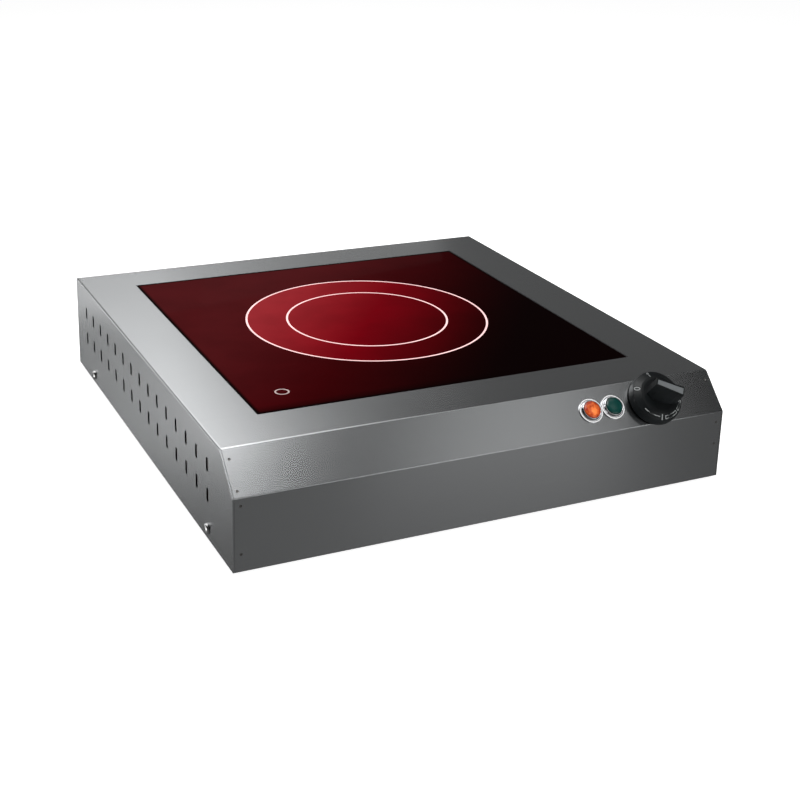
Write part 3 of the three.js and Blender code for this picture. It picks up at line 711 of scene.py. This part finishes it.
def make_glass():
    half = (GLASS_HIGH.x - GLASS_LOW.x) / 2
    top, under = GLASS_HIGH.z, GLASS_LOW.z
    corner = 1.2 * MM
    arris = 0.5 * MM
    under_arris = 0.3 * MM
    bm = bmesh.new()
    loft(bm, [
        square_loop(half - under_arris, under, corner),
        square_loop(half, under + under_arris, corner),
        square_loop(half, top - arris, corner),
        square_loop(half - 0.12 * MM, top - 0.15 * MM, corner),
        square_loop(half - arris, top, corner),
    ])
    glass = mesh_object("glass_top", bm)
    dress(glass, "appliance", "glass_ceramic", glass_material(), nodes=["glass_plate"])


def add_flat_ring(bm, centre, inner, outer, z, sides=160):
    loops = [
        circle_points(inner, z, sides),
        circle_points(outer, z, sides),
        circle_points(outer, z + PRINT_THICK, sides),
        circle_points(inner, z + PRINT_THICK, sides),
    ]
    loft(bm, [[p + centre for p in loop] for loop in loops], closed=True)


def make_printed_rings():
    bm = bmesh.new()
    z = GLASS_HIGH.z + PRINT_LIFT
    centre = Vector((0, HEATER_Y, 0))
    for radius in (OUTER_RING, INNER_RING):
        add_flat_ring(bm, centre, radius - RING_LINE / 2, radius + RING_LINE / 2, z)
    # The printed rings get a painted glow that keeps them bright.
    lit = add_light(moulded("zone_print_painted_glow", (0.8, 0.55, 0.55), 0.35), (1, 0.6, 0.6), 0.8)
    leave_out_of_light_sampling(lit)
    dress(mesh_object("cooking_zone_print", bm), "appliance", "glass_ceramic", lit)
    bm = bmesh.new()
    add_flat_ring(bm, SMALL_RING, SMALL_RING_INSIDE, SMALL_RING_OUTSIDE, z, 48)
    unlit = moulded("mark_print", (0.8, 0.62, 0.6), 0.35)
    dress(mesh_object("sensor_mark_print", bm), "appliance", "glass_ceramic", unlit)


# ---------------------------------------------------------------- knob

KNOB_PLACE = PANEL @ Matrix.Translation((KNOB_X, 0, 0)) @ Matrix.Rotation(GRIP_TURN, 4, "Z")
SKIRT_UNDER = 1.2 * MM
DIAL_FOOT = Vector((21.2, 8.5)) * MM
DIAL_HEAD = Vector((15.8, 11.4)) * MM
FACE = 11.8 * MM
GRIP_TOP = 28.2 * MM
GRIP_EDGE = 0.35 * MM

# Half outlines of the grip, as (along it, across it, corner radius) in mm: where it meets the face, and
# its flat head. Both run from the blunt tail to the tip. The strip's ends are (along it, across it).
GRIP_FOOT = ((-10.6, 3.2, 0.8), (-6.5, 6.1, 4), (3, 6.7, 8), (10, 5.2, 8), (15.6, 2, 0.8))
GRIP_HEAD = ((-10.8, 3.4, 0.5), (-6.5, 3.6, 4), (3, 3.8, 4), (9, 4, 4), (13.3, 4.1, 0.5))
STRIP_TAIL = (-9.6, 2.0)
STRIP_TIP = (12.5, 2.7)
STRIP_CORNER = 0.3


def grip_outline(half, inset=0):
    """Both sides of a half outline, in metres, with its ends and sides moved in by inset."""
    ends = (half[0][0] + inset, half[-1][0] - inset)
    side = [(min(max(a, ends[0]), ends[1]), -(b - inset), r) for a, b, r in half]
    other = [(a, -b, r) for a, b, r in reversed(side)]
    return [Vector(p) * MM for p in outline(side + other, 5)]


def grip_mesh():
    """The grip, whose sides flare out towards the face, with a small round along its head's edge."""
    levels = 12
    flare_power = 1.6
    foot, head = grip_outline(GRIP_FOOT), grip_outline(GRIP_HEAD)
    start = FACE - 1 * MM
    loops = []
    for level in range(levels + 1):
        rise = level / levels
        flare = (1 - rise) ** flare_power
        z = start + (GRIP_TOP - GRIP_EDGE - start) * rise
        loops.append([Vector((*h.lerp(f, flare), z)) for h, f in zip(head, foot)])
    for inset, drop in ((0.1, 0.1 * MM), (GRIP_EDGE / MM, 0)):
        loops.append([Vector((*p, GRIP_TOP - drop)) for p in grip_outline(GRIP_HEAD, inset)])
    bm = bmesh.new()
    loft(bm, loops)
    return mesh_object("grip", bm)


def skirt_mesh():
    """The knob's skirt: a hollow drum whose top edge is a conical dial, with a socket in its middle."""
    socket_radius, socket_wall = 4.2 * MM, 2.4 * MM
    socket_top, socket_under = 10.4 * MM, 2.5 * MM
    ceiling = 9.6 * MM
    hollow = [
        (0, socket_top),
        (socket_radius, socket_top),
        (socket_radius, socket_under),
        (socket_radius + socket_wall, socket_under),
        (socket_radius + socket_wall, ceiling),
        (15 * MM, ceiling),
        (19.5 * MM, 7 * MM),
        (19.9 * MM, SKIRT_UNDER),
    ]
    shell = rounded_profile([
        (20.5 * MM, SKIRT_UNDER),
        (21.5 * MM, SKIRT_UNDER, 0.3 * MM),
        (*DIAL_FOOT, 0.5 * MM),
        (*DIAL_HEAD, 0.8 * MM),
        (13.8 * MM, FACE, 1 * MM),
        (12 * MM, FACE),
    ])
    return turned("knob_body", hollow + shell + [(0, FACE)], 120)


def make_knob():
    knob = combine(skirt_mesh(), grip_mesh(), "UNION")
    recess = strip_mesh("recess", 0, ((-0.8 * MM, 0), (1 * MM, 0)))
    combine(knob, recess, "DIFFERENCE")
    place(knob, KNOB_PLACE)
    black = moulded("knob_black", (0.009, 0.011, 0.012), 0.36, specular=0.3)
    dress(knob, "knob", "knob_plastic", black, nodes=["knob"])


def strip_mesh(name, gap, steps):
    """The silver strip's tapering block, made smaller by gap; steps are (height over the head, inset)."""
    loops = []
    for height, inset in steps:
        shrink = (gap + inset) / MM
        tail = Vector(STRIP_TAIL) + Vector((shrink, -shrink))
        tip = Vector(STRIP_TIP) - Vector((shrink, shrink))
        sides = [(tail.x, -tail.y), (tip.x, -tip.y), (tip.x, tip.y), (tail.x, tail.y)]
        corners = [(*spot, STRIP_CORNER) for spot in sides]
        loops.append([Vector((*(p * MM), GRIP_TOP + height)) for p in outline(corners, 3)])
    bm = bmesh.new()
    loft(bm, loops)
    return mesh_object(name, bm)


def make_strip():
    strip = strip_mesh("knob_strip", 0.06 * MM, ((-0.75 * MM, 0), (0.02 * MM, 0), (0.1 * MM, 0.1 * MM)))
    place(strip, KNOB_PLACE)
    dress(strip, "knob", "silver_foil", silver_material(), nodes=["knob_insert"])


def silver_material():
    """Satin silver foil, with faint clouds in its polish."""
    color = (0.3, 0.32, 0.33)
    surface = Surface("silver_foil", color, 0.42, metallic=0.3)
    clouds = surface.noise(surface.coordinates(), 400)
    surface.vary_color(clouds, color, 0.95, 1.05)
    surface.vary_roughness(clouds, 0.4, 0.44)
    return surface.material


def on_dial(x, y, lift):
    """A point on the dial's cone, in the knob's own frame."""
    slope = (DIAL_HEAD.y - DIAL_FOOT.y) / (DIAL_HEAD.x - DIAL_FOOT.x)
    return Vector((x, y, DIAL_FOOT.y + slope * (math.hypot(x, y) - DIAL_FOOT.x) + lift))


def add_mark(bm, edge):
    """A thin raised mark on the dial with that closed edge."""
    loft(bm, [[on_dial(x, y, lift) for x, y in edge] for lift in (0, PRINT_THICK)])


def add_band(bm, inner, outer, start, end):
    """A sector of a ring; angles in degrees from the grip's tip."""
    steps = max(1, round(abs(end - start) / 3))
    angles = [math.radians(start + (end - start) * i / steps) for i in range(steps + 1)]
    edge = [(outer * math.cos(a), outer * math.sin(a)) for a in angles]
    edge += [(inner * math.cos(a), inner * math.sin(a)) for a in reversed(angles)]
    add_mark(bm, edge)


def add_outlined_band(bm, inner, outer, start, end, line):
    sweep = math.degrees(line / outer)
    add_band(bm, inner, inner + line, start, end)
    add_band(bm, outer - line, outer, start, end)
    add_band(bm, inner + line, outer - line, start, start + sweep)
    add_band(bm, inner + line, outer - line, end - sweep, end)


def add_oval(bm, angle, radius, half_length, half_width, line):
    """An oval line, long towards the axis, at an angle in degrees from the grip's tip."""
    turn = Matrix.Rotation(math.radians(angle), 4, "Z") @ Matrix.Translation((radius, 0, 0))
    loops = []
    for inset, lift in ((line, 0), (0, 0), (0, PRINT_THICK), (line, PRINT_THICK)):
        ring = circle_points(1, 0, 28)
        spots = [turn @ Vector((p.x * (half_length - inset), p.y * (half_width - inset), 0)) for p in ring]
        loops.append([on_dial(p.x, p.y, lift) for p in spots])
    loft(bm, loops, closed=True)


def make_dial():
    """The dial's marks: a nought for off by the grip's tail, then the power scale round to the tip, and
    past that a short line with a small ring."""
    bm = bmesh.new()
    off = 183.5
    line = 0.6 * MM
    scale_inner, scale_outer = 17.4 * MM, 20 * MM
    add_oval(bm, off, 18.5 * MM, 2.2 * MM, 1.5 * MM, line)
    add_band(bm, 17.9 * MM, 18.5 * MM, off + 55, off + 99)
    add_band(bm, 16.5 * MM, 20.6 * MM, off + 104, off + 106.5)
    add_outlined_band(bm, scale_inner, scale_outer, off + 114, off + 152, line)
    add_outlined_band(bm, scale_inner, scale_outer, off + 157, off + 187, line)
    add_band(bm, 16 * MM, 18.4 * MM, off + 301, off + 303)
    add_oval(bm, off + 302, 19.6 * MM, 0.9 * MM, 0.9 * MM, 0.5 * MM)
    marks = place(mesh_object("dial_marks", bm), KNOB_PLACE)
    dress(marks, "knob", "knob_plastic", moulded("dial_print", (0.4, 0.42, 0.42), 0.5))


# ---------------------------------------------------------------- pilot lamps

BEZEL_RIM_INSIDE = 9.0 * MM
BEZEL_RIM_FOOT = 0.92 * MM
BEZEL_RADIUS = 9.9 * MM
BEZEL_BORE = 5.4 * MM
BEZEL_BARREL = 6.7 * MM
BEZEL_BARREL_END = -12 * MM
BEZEL_SEAT = 0.1 * MM
BEZEL_RIM_TOP = 1.2 * MM
BEZEL_TOP = 3.3 * MM
LENS_LEDGE = 1.4 * MM
LENS_CLEARANCE = 0.1 * MM
LENS_RADIUS = 7 * MM
LENS_UNDER = 1.6 * MM
LENS_FOOT = 3.1 * MM
LENS_RISE = 1.3 * MM


def bezel_profile():
    """A bezel: a barrel through the panel, a flat outer rim, and a raised cone round the lens."""
    lens_hole = LENS_RADIUS + LENS_CLEARANCE
    return rounded_profile([
        (BEZEL_BORE, BEZEL_BARREL_END),
        (BEZEL_BARREL, BEZEL_BARREL_END),
        (BEZEL_BARREL, BEZEL_SEAT),
        (BEZEL_RADIUS, BEZEL_SEAT, 0.1 * MM),
        (BEZEL_RADIUS, BEZEL_RIM_TOP, 0.3 * MM),
        (BEZEL_RIM_INSIDE + 0.1 * MM, BEZEL_RIM_TOP, 0.2 * MM),
        (BEZEL_RIM_INSIDE, 0.5 * MM),
        (7.8 * MM, BEZEL_TOP, 0.3 * MM),
        (lens_hole, BEZEL_TOP, 0.2 * MM),
        (lens_hole, LENS_LEDGE),
        (BEZEL_BORE, LENS_LEDGE),
    ])


def lens_profile():
    turns = [math.pi / 2 * i / 10 for i in range(10)]
    dome = [(LENS_RADIUS * math.cos(a), LENS_FOOT + LENS_RISE * math.sin(a)) for a in turns]
    return [(0, LENS_UNDER), (LENS_RADIUS, LENS_UNDER)] + dome + [(0, LENS_FOOT + LENS_RISE)]


def lens_material(name, at, dark, lit, spot):
    """A lens that glows lit round one spot on it, in the frame at, and dark elsewhere and to its rim."""
    surface = Surface(name, dark, 0.25)
    surface.set("Coat Weight", 0.12)
    surface.set("Coat Roughness", 0.05)
    position = surface.coordinates()
    reaches = []
    for aim in (Vector((0, 0, LENS_FOOT)), Vector((*spot, LENS_FOOT + LENS_RISE))):
        distance = surface.node("ShaderNodeVectorMath", operation="DISTANCE")
        surface.link(position, distance.inputs[0])
        distance.inputs[1].default_value = at @ aim
        reaches.append(distance.outputs["Value"])
    rim = surface.spread(reaches[0], 1.0, 0.3, 0.75 * LENS_RADIUS, LENS_RADIUS)
    hot = surface.spread(reaches[1], 0.8, 0.0, 1 * MM, 4 * MM)
    patches = surface.noise(position, 420, detail=2, roughness=0.6)
    mottle = surface.math("ADD", hot, surface.spread(patches, 0.0, 0.6, 0.38, 0.72))
    surface.drive(surface.blend(mottle, dark, lit), "Emission Color")
    surface.drive(rim, "Emission Strength")
    surface.bump(patches, 0.1, 0.0002)
    return surface.material


def make_lamp(lamp, dark, lit, spot, chrome, rim):
    at = PANEL @ Matrix.Translation((centre_of(f"{lamp}_bezel").x, 0, 0))
    bezel = turned(f"{lamp}_lamp_bezel", bezel_profile(), 72)
    # Faces on the outer rim take the second material, a painted reflection.
    for polygon in bezel.data.polygons:
        on_rim = polygon.center.xy.length > BEZEL_RIM_INSIDE and polygon.center.z > BEZEL_RIM_FOOT
        polygon.material_index = 1 if on_rim else 0
    place(bezel, at)
    dress(bezel, "appliance", "lamp_chrome", chrome, rim, nodes=[f"{lamp}_bezel"])
    lens = place(turned(f"{lamp}_lamp_lens", lens_profile(), 56), at)
    material = lens_material(lamp, at, dark, lit, spot)
    dress(lens, "appliance", f"{lamp}_lens", material, nodes=[f"{lamp}_lens"])


def make_lamps():
    chrome = plated("chrome", (0.88, 0.88, 0.9), 0.08)
    # The bezels' outer rims are white and glow a little: a painted reflection of the bright surroundings in their
    # chrome.
    rim = add_light(plated("rim_painted_reflection", (0.97, 0.97, 0.97), 0.4, metallic=0.0), (1, 1, 1), 0.4)
    make_lamp("amber", (0.27, 0.02, 0.005), (1.0, 0.3, 0.07), (1 * MM, -1.6 * MM), chrome, rim)
    make_lamp("green", (0.0015, 0.026, 0.022), (0.003, 0.034, 0.029), (-2 * MM, 0), chrome, rim)


# ---------------------------------------------------------------- screws and feet

HEAD_HEIGHT = 2.4 * MM
SHANK_LENGTH = 6 * MM
SHANK_RADIUS = 1.9 * MM
HEAD_OFF_WALL = 0.15 * MM
RECESS_REACH = 2.2 * MM
RECESS_HALF_WIDTH = 0.35 * MM
RECESS_FLOOR = 1.2 * MM
RECESS_TOP = 3 * MM


def recess_slot(half_x, half_y):
    bm = bmesh.new()
    add_box(bm, (-half_x, -half_y, RECESS_FLOOR), (half_x, half_y, RECESS_TOP))
    return mesh_object("recess", bm)


def pan_head(name):
    """A pan-head screw with a cross recess, pointing down -Z with its head's underside at z = 0."""
    profile = rounded_profile([
        (0, -SHANK_LENGTH),
        (SHANK_RADIUS, -SHANK_LENGTH),
        (SHANK_RADIUS, 0),
        (4.3 * MM, 0, 0.2 * MM),
        (4.1 * MM, 1.7 * MM, 0.9 * MM),
        (2.4 * MM, 2.35 * MM, 1.5 * MM),
        (0.01 * MM, HEAD_HEIGHT),
    ])
    screw = turned(name, profile[:-1] + [(0, HEAD_HEIGHT)], 40)
    along = recess_slot(RECESS_REACH, RECESS_HALF_WIDTH)
    across = recess_slot(RECESS_HALF_WIDTH, RECESS_REACH)
    return combine(screw, combine(along, across, "UNION"), "DIFFERENCE")


def make_base_screws():
    bright = plated("bright_screw", (0.75, 0.75, 0.75), 0.22)
    for side, sign in (("left", -1), ("right", 1)):
        for end, twist in (("front", 20), ("rear", 65)):
            node = f"base_screw_{end}_{side}"
            head = centre_of(node)
            head.x = sign * (HOUSING_HIGH.x + HEAD_OFF_WALL)
            turn = Matrix.Rotation(sign * math.pi / 2, 4, "Y") @ Matrix.Rotation(math.radians(twist), 4, "Z")
            screw = place(pan_head(f"side_screw_{end}_{side}"), Matrix.Translation(head) @ turn)
            dress(screw, "appliance", "screw_steel", bright, nodes=[node])


def foot_profile():
    """A tapered foot with a hole for its screw and a wider recess for the screw's head."""
    top = 4.9 * MM
    hole, recess = 2.3 * MM, 5 * MM
    recess_floor = 2.4 * MM
    return rounded_profile([
        (hole, recess_floor),
        (recess, recess_floor),
        (recess, 0, 0.2 * MM),
        (9.8 * MM, 0, 0.6 * MM),
        (10.9 * MM, top, 0.4 * MM),
        (hole, top),
    ])


def make_feet():
    rubber = moulded("foot_rubber", (0.03, 0.03, 0.03), 0.7)
    for end in ("front", "rear"):
        for side in ("left", "right"):
            node = f"foot_{end}_{side}"
            centre = centre_of(node)
            foot = turned(f"rubber_{node}", foot_profile(), 56)
            place(foot, Matrix.Translation((centre.x, centre.y, 0)))
            dress(foot, "appliance", "foot_rubber", rubber, nodes=[node])


# ---------------------------------------------------------------- pieces that keep their CAD mesh


def paint_node(node, material):
    mesh_owner = frame["nodes"][node]
    mesh_owner.data.materials.clear()
    mesh_owner.data.materials.append(material)


def inner_materials():
    """A material for each of the record's slots that a piece with its CAD mesh has."""
    fibre = moulded("mineral_fibre", (0.6, 0.56, 0.48), 0.95, 500, 0.0003)
    return {
        "plated_steel": steel("zinc_sheet", "X", (0, 1, 1), (0.5, 0.51, 0.52), 0.38),
        "screw_steel": plated("zinc_fastener", (0.6, 0.6, 0.6), 0.3),
        "spring_steel": plated("spring_steel", (0.2, 0.21, 0.22), 0.35),
        "brass": plated("brass", (0.6, 0.42, 0.16), 0.3),
        "heater_fibre": fibre,
        "heater_lead": fibre,
        "steatite": moulded("steatite", (0.68, 0.62, 0.54), 0.55),
        "heating_ribbon": plated("heating_ribbon", (0.25, 0.09, 0.05), 0.6),
        "quartz": moulded("quartz", (0.6, 0.62, 0.6), 0.12),
        "inner_plastic": moulded("grey_plastic", (0.045, 0.048, 0.05), 0.5),
        "silicone": moulded("black_silicone", (0.008, 0.008, 0.009), 0.55),
        "foot_rubber": moulded("seal_rubber", (0.01, 0.01, 0.01), 0.7),
        "live_wire": moulded("brown_wire", (0.11, 0.035, 0.015), 0.45),
        "neutral_wire": moulded("blue_wire", (0.02, 0.07, 0.25), 0.45),
        "earth_wire": moulded("green_wire", (0.12, 0.25, 0.02), 0.45),
    }


def paint_inner_pieces():
    materials = inner_materials()
    for part in frame["record"]["subparts"]:
        material = materials.get(part["material_slot"])
        if material and not frame["nodes"][part["node"]].hide_render:
            paint_node(part["node"], material)


# ---------------------------------------------------------------- floor, light and camera


def make_floor():
    """A white floor that the steel doesn't mirror, and that light cards below its level shine through."""
    half = 60
    bm = bmesh.new()
    bm.faces.new(add_loop(bm, [(-half, -half, 0), (half, -half, 0), (half, half, 0), (-half, half, 0)]))
    floor = mesh_object("floor", bm)
    surface = Surface("pale_floor", (0.8, 0.8, 0.8), 0.9)
    surface.set("Specular IOR Level", 0.0)
    add_light(surface.material, (1, 1, 1), 0.95)
    leave_out_of_light_sampling(surface.material)
    floor.data.materials.append(surface.material)
    floor.visible_glossy = False
    floor.visible_shadow = False


# Soft light cards round the object's middle, the brightest first: azimuth from +Y towards +X and
# elevation in degrees, width and height in metres, and radiance.
CARD_DISTANCE = 1.5
CARD_AIM = Vector((0, 0, 0.05))
CARDS = {
    "overhead_front": (176, 79, 0.50, 0.88, 4.96),
    "left_low": (-60, -18, 1.17, 0.38, 2.05),
    "back_high": (-20, 55, 1.84, 1.64, 1.59),
    "back_left_low": (-31, -5, 0.40, 0.55, 1.33),
    "front_right": (160, 17, 0.85, 0.38, 1.04),
    "overhead_right": (108, 71, 0.52, 1.05, 0.77),
    "front_right_high": (142, 44, 0.38, 0.38, 0.58),
    "back_wide": (-11, 11, 2.40, 0.53, 0.31),
    "front_right_low": (155, 1, 0.43, 1.30, 0.28),
    "back_right_wide": (43, 10, 1.68, 1.00, 0.10),
    "front_below": (169, -26, 0.38, 0.41, 0.05),
}
# The radiance of the room above and below the horizon, and how far under it the change goes.
SKY = 0.02
GROUND = 0.1
HORIZON = 0.1


def make_card(name, azimuth, elevation, width, height, radiance):
    a, e = math.radians(azimuth), math.radians(elevation)
    outward = Vector((math.sin(a) * math.cos(e), math.cos(a) * math.cos(e), math.sin(e)))
    data = bpy.data.lights.new(name, "AREA")
    data.shape = "RECTANGLE"
    data.size, data.size_y = width, height
    data.energy = radiance * math.pi * width * height
    card = bpy.data.objects.new(name, data)
    card.location = CARD_AIM + outward * CARD_DISTANCE
    card.rotation_euler = outward.to_track_quat("Z", "Y").to_euler()
    card.visible_camera = False
    bpy.context.scene.collection.objects.link(card)


def make_world():
    """A dim room, a little lighter below the horizon than above it."""
    world = bpy.data.worlds.new("studio")
    world.use_nodes = True
    tree = world.node_tree
    direction = tree.nodes.new("ShaderNodeTexCoord")
    parts = tree.nodes.new("ShaderNodeSeparateXYZ")
    ramp = tree.nodes.new("ShaderNodeMapRange")
    set_inputs(ramp, {"From Min": -HORIZON, "From Max": 0.0, "To Min": GROUND, "To Max": SKY})
    tree.links.new(direction.outputs["Generated"], parts.inputs[0])
    tree.links.new(parts.outputs["Z"], ramp.inputs["Value"])
    background = tree.nodes["Background"]
    background.inputs["Color"].default_value = (1, 1, 1, 1)
    tree.links.new(ramp.outputs["Result"], background.inputs["Strength"])
    bpy.context.scene.world = world


def make_studio():
    make_world()
    for name, measures in CARDS.items():
        make_card(name, *measures)
    bpy.context.scene.view_settings.view_transform = "Standard"


# The camera's place and its lens. The place is a distance back from the middle of the housing's front
# bottom edge, then right and up in the camera's own frame.
CAMERA_AZIMUTH = math.radians(-27.0766)
CAMERA_ELEVATION = math.radians(18.4648)
CAMERA_ROLL = math.radians(2.0259)
CAMERA_DISTANCE = 1102.34 * MM
CAMERA_RIGHT = -47.36 * MM
CAMERA_UP = 168.79 * MM
CAMERA_LENS = 65.623
CAMERA_SHIFT = (-0.0395, -0.1287)


def make_camera():
    a, e = CAMERA_AZIMUTH, CAMERA_ELEVATION
    back = Vector((math.sin(a) * math.cos(e), -math.cos(a) * math.cos(e), math.sin(e)))
    right = Vector((0, 0, 1)).cross(back).normalized()
    up = back.cross(right)
    roll = Matrix.Rotation(CAMERA_ROLL, 3, back)
    right, up = roll @ right, roll @ up
    pivot = Vector((0, HOUSING_LOW.y, HOUSING_LOW.z))
    eye = pivot + back * CAMERA_DISTANCE + right * CAMERA_RIGHT + up * CAMERA_UP
    data = bpy.data.cameras.new("camera")
    data.lens = CAMERA_LENS
    data.shift_x, data.shift_y = CAMERA_SHIFT
    camera = bpy.data.objects.new("camera", data)
    camera.matrix_world = Matrix.Translation(eye) @ Matrix((right, up, back)).transposed().to_4x4()
    bpy.context.scene.collection.objects.link(camera)
    bpy.context.scene.camera = camera


make_camera()
make_housing()
make_glass()
make_printed_rings()
make_knob()
make_strip()
make_dial()
make_lamps()
make_base_screws()
make_feet()
paint_inner_pieces()
make_floor()
make_studio()
